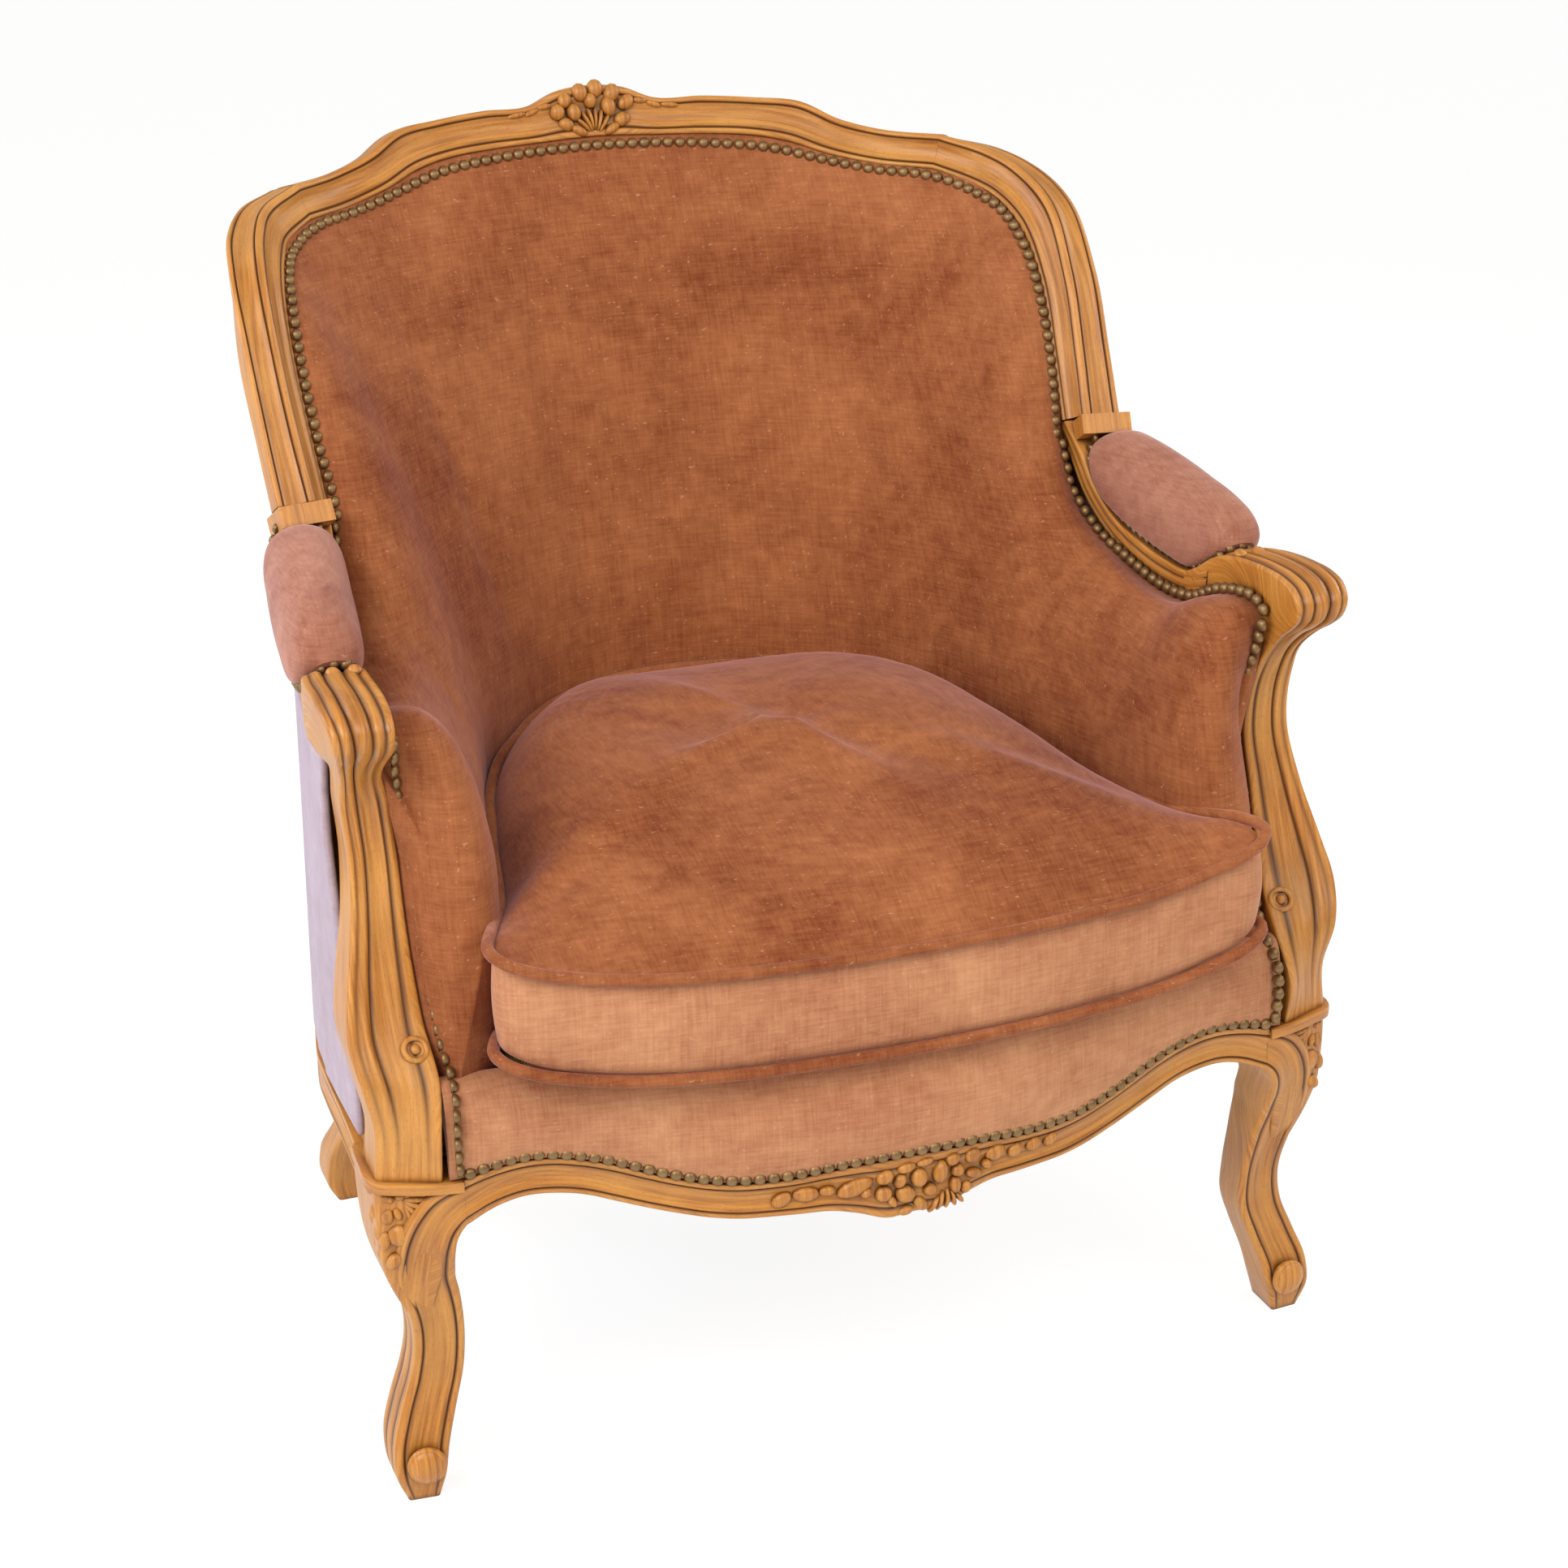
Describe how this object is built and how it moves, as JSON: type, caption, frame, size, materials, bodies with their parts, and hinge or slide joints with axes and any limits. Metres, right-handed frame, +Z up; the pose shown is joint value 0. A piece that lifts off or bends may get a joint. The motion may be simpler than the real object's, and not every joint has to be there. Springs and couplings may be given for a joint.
{
  "type": "bergere armchair",
  "caption": "Low carved-frame bergere with a moulded crest, padded back and arms, nailed velvet and a loose boxed seat cushion.",
  "frame": {"origin": "on the floor under the middle of the chair's overall width and depth", "axes": "+Z up, -Y towards where the sitter faces (the chair's front), +X to the right when looking at the front of the chair"},
  "size_m": [0.8036, 0.7688, 0.957],
  "materials": {
    "show_wood": "hand-rubbed walnut-brown wax over carved beech",
    "frame_wood": "plain sawn beech",
    "velvet": "cinnamon cotton velvet",
    "velvet_outside": "mauve-brown velvet stretched flat",
    "piping": "velvet over cord",
    "stuffing": "feather and wadding in ticking",
    "hessian": "open weave jute",
    "black_cloth": "thin black lining cloth"
  },
  "bodies": {
    "frame": {"crest_rail": "show_wood", "right_upright": "show_wood", "left_upright": "show_wood", "right_arm": "show_wood", "left_arm": "show_wood", "right_arm_support": "show_wood", "left_arm_support": "show_wood", "right_front_leg": "show_wood", "left_front_leg": "show_wood", "right_back_post": "show_wood", "left_back_post": "show_wood", "right_side_rail": "show_wood", "left_side_rail": "show_wood", "front_seat_rail": "show_wood", "back_seat_rail": "show_wood", "inside_back_pad": "velvet", "right_inside_arm_pad": "velvet", "left_inside_arm_pad": "velvet", "right_armrest_pad": "velvet", "left_armrest_pad": "velvet", "front_border": "velvet", "outside_back_panel": "velvet_outside", "right_outside_panel": "velvet_outside", "left_outside_panel": "velvet_outside", "seat_deck": "hessian", "seat_burlap": "hessian", "seat_webbing": "hessian", "dust_cover": "black_cloth", "corner_blocks": "frame_wood", "frame_dowels": "frame_wood"},
    "seat_cushion": {"cushion_cover": "velvet", "cushion_core": "stuffing", "cushion_top_piping": "piping", "cushion_bottom_piping": "piping"}
  },
  "joints": [
    {"name": "cushion_lift", "type": "slide", "parent": "frame", "child": "seat_cushion", "axis": [0, 0, 1], "range_m": [0, 0.36]}
  ]
}
